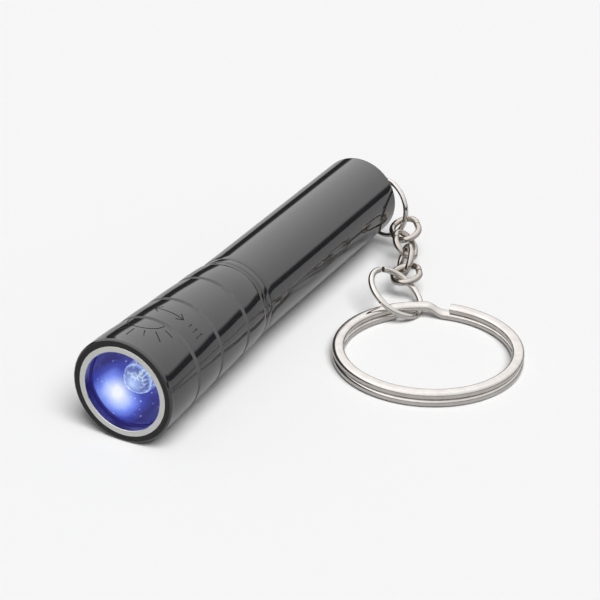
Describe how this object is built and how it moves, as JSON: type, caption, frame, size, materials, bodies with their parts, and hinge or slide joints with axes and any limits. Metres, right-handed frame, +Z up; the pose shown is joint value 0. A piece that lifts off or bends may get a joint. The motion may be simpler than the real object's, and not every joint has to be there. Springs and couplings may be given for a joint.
{
  "type": "keychain flashlight",
  "caption": "Slim keychain flashlight: a grooved turning head with a clear lamp in a polished cup, a plain tube for one small cell, a curb chain and a split key ring.",
  "frame": {"origin": "centre of the whole object's footprint, on the surface that the light lies on", "axes": "+Z up from the surface; -Y is the way the light shines, along the tube; the chain and the split ring lie at +X of the tube"},
  "size_m": [0.0516, 0.0808, 0.0166],
  "materials": {
    "black_body": "gloss black on aluminium",
    "bright_ring": "polished plating",
    "clear_window": "clear, polished",
    "clear_lamp": "clear moulded resin",
    "rubber": "black, matte",
    "mirror_cup": "vacuum plated, polished",
    "tinned_wire": "tinned",
    "white_plastic": "moulded, satin",
    "board": "solder mask, satin",
    "dark_plastic": "moulded, matte",
    "brass": "plated, satin",
    "bare_aluminium": "turned, bare",
    "cell_steel": "nickel plated",
    "cell_sleeve": "shrunk sleeve, satin",
    "spring_steel": "gold flashed wire",
    "nickel": "bright nickel plating"
  },
  "bodies": {
    "barrel": {"barrel_tube": "black_body", "collar_ring": "black_body", "neck_sleeve": "bare_aluminium", "o_ring": "rubber", "tail_spring": "spring_steel", "tail_plate": "brass", "tail_lug": "nickel"},
    "battery": {"battery_can": "cell_steel", "battery_sleeve": "cell_sleeve", "battery_cap": "cell_steel", "battery_seal": "dark_plastic"},
    "head": {"head_shell": "black_body", "bezel_ring": "bright_ring", "lens_window": "clear_window", "lens_seal": "rubber", "reflector": "mirror_cup", "led_lamp": "clear_lamp", "led_leads": "tinned_wire", "led_socket": "white_plastic", "circuit_board": "board", "driver_coil": "dark_plastic", "driver_chip": "dark_plastic", "contact_pin": "brass", "switch_ring": "brass"},
    "tail_ring": {"jump_ring_tail": "nickel"},
    "link_1": {"chain_link_1": "nickel"},
    "link_2": {"chain_link_2": "nickel"},
    "link_3": {"chain_link_3": "nickel"},
    "link_4": {"chain_link_4": "nickel"},
    "key_jump": {"jump_ring_key": "nickel"},
    "key_ring": {"split_ring": "nickel"}
  },
  "joints": [
    {"name": "battery_slide", "type": "slide", "parent": "barrel", "child": "battery", "axis": [0, -1, 0], "range_m": [0, 0.0004], "deforming": ["tail_spring"]},
    {"name": "head_twist", "type": "hinge", "parent": "battery", "child": "head", "pos_m": [-0.01752, -0.02, 0.0083], "axis": [0, -1, 0], "range_deg": [0, 180]},
    {"name": "tail_ring_swing", "type": "hinge", "parent": "barrel", "child": "tail_ring", "pos_m": [-0.01752, 0.03825, 0.0083], "axis": [0, 0, 1], "range_deg": [0, 60]},
    {"name": "link_1_swing", "type": "hinge", "parent": "tail_ring", "child": "link_1", "pos_m": [-0.00853, 0.03522, 0.00552], "axis": [-0.2541, 0.2941, 0.9214], "range_deg": [-14, 48]},
    {"name": "link_2_swing", "type": "hinge", "parent": "link_1", "child": "link_2", "pos_m": [-0.00568, 0.03161, 0.00483], "axis": [-0.9313, -0.14, -0.3361], "range_deg": [-20, 32]},
    {"name": "link_3_swing", "type": "hinge", "parent": "link_2", "child": "link_3", "pos_m": [-0.00454, 0.02714, 0.00417], "axis": [-0.6693, -0.3505, 0.6551], "range_deg": [-48, 48]},
    {"name": "link_4_swing", "type": "hinge", "parent": "link_3", "child": "link_4", "pos_m": [-0.00201, 0.02346, 0.00422], "axis": [-0.054, -0.2591, -0.9643], "range_deg": [-36, 10]},
    {"name": "key_jump_swing", "type": "hinge", "parent": "link_4", "child": "key_jump", "pos_m": [-0.00016, 0.01931, 0.00355], "axis": [0.9313, 0.14, 0.3361], "range_deg": [-28, 16]},
    {"name": "key_ring_swing", "type": "hinge", "parent": "key_jump", "child": "key_ring", "pos_m": [0.00338, 0.01511, 0.0013], "axis": [-0.2541, 0.2941, 0.9214], "range_deg": [-48, 0]}
  ],
  "couplings": [
    {"joint": "head_twist", "follows": "battery_slide", "rad_per_m": 7853.9}
  ]
}
